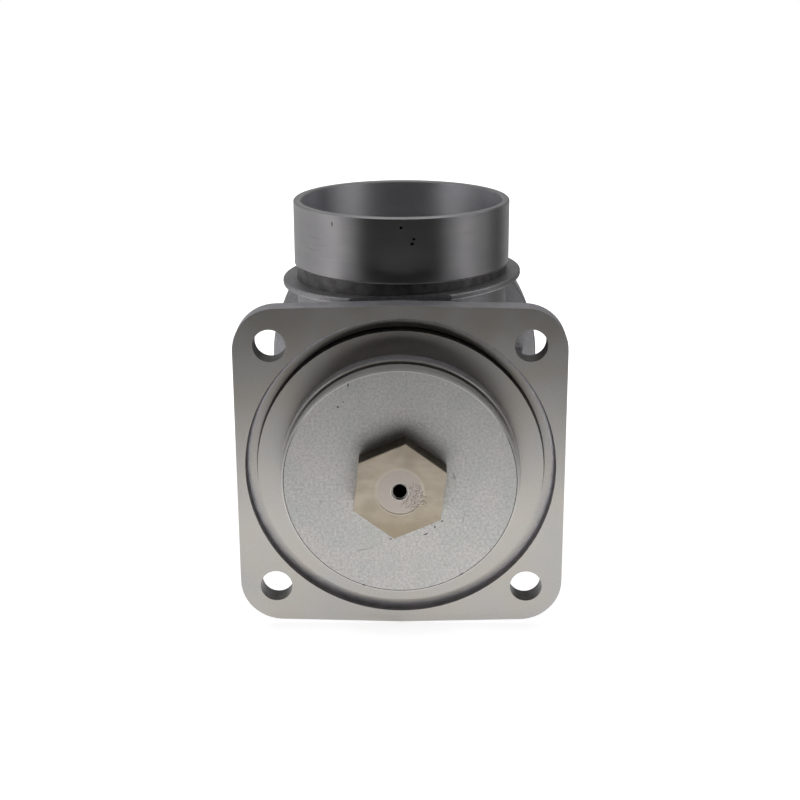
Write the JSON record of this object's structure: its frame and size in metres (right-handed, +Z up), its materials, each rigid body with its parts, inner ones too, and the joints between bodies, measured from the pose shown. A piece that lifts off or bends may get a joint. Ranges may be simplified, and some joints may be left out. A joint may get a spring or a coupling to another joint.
{
  "type": "air compressor intake valve",
  "caption": "Normally closed poppet intake valve for a screw air compressor, with a square mounting flange, an inlet hose spigot and a piston actuator.",
  "frame": {"origin": "centre of the mounting flange's face, on the valve axis", "axes": "+Z up along the inlet pipe, -Y out of the mounting face towards the compressor, +X to the right seen from the compressor side"},
  "size_m": [0.132, 0.22, 0.1653],
  "materials": {
    "cast_aluminium": "cast aluminium, machined matt on the flange face and turned on the spigot",
    "turned_aluminium": "turned",
    "black_rubber": "moulded rubber",
    "zinc_steel": "zinc plated",
    "copper": "soft copper",
    "brass": "turned brass",
    "sintered_bronze": "sintered bronze",
    "spring_steel": "oiled spring steel",
    "blasted_steel": "shot blasted",
    "nickel_steel": "steel with a warm yellowish passivation",
    "ground_steel": "ground",
    "ptfe": "bronze-filled fluoropolymer"
  },
  "bodies": {
    "housing": {"valve_body": "cast_aluminium", "rear_cover": "turned_aluminium", "cover_o_ring": "black_rubber", "cover_washers": "zinc_steel", "cover_screws": "zinc_steel", "port_plugs": "zinc_steel", "plug_washers": "copper", "breather_body": "brass", "breather_element": "sintered_bronze", "guide_bush": "sintered_bronze", "stem_seal": "black_rubber", "seal_circlip": "spring_steel", "return_spring": "spring_steel"},
    "valve": {"valve_plate": "blasted_steel", "valve_seal_disc": "black_rubber", "seal_retainer": "blasted_steel", "valve_bolt": "nickel_steel", "valve_stem": "ground_steel", "piston": "turned_aluminium", "piston_guide_ring": "ptfe", "piston_seal": "black_rubber", "hub_o_ring": "black_rubber", "buffer_ring": "black_rubber", "piston_washer": "zinc_steel", "piston_nut": "zinc_steel"}
  },
  "joints": [
    {"name": "valve_slide", "type": "slide", "parent": "housing", "child": "valve", "axis": [0, -1, 0], "range_m": [0, 0.022], "stiffness_N_per_m": 4200, "springref_m": -0.014, "deforming": ["return_spring"]}
  ]
}
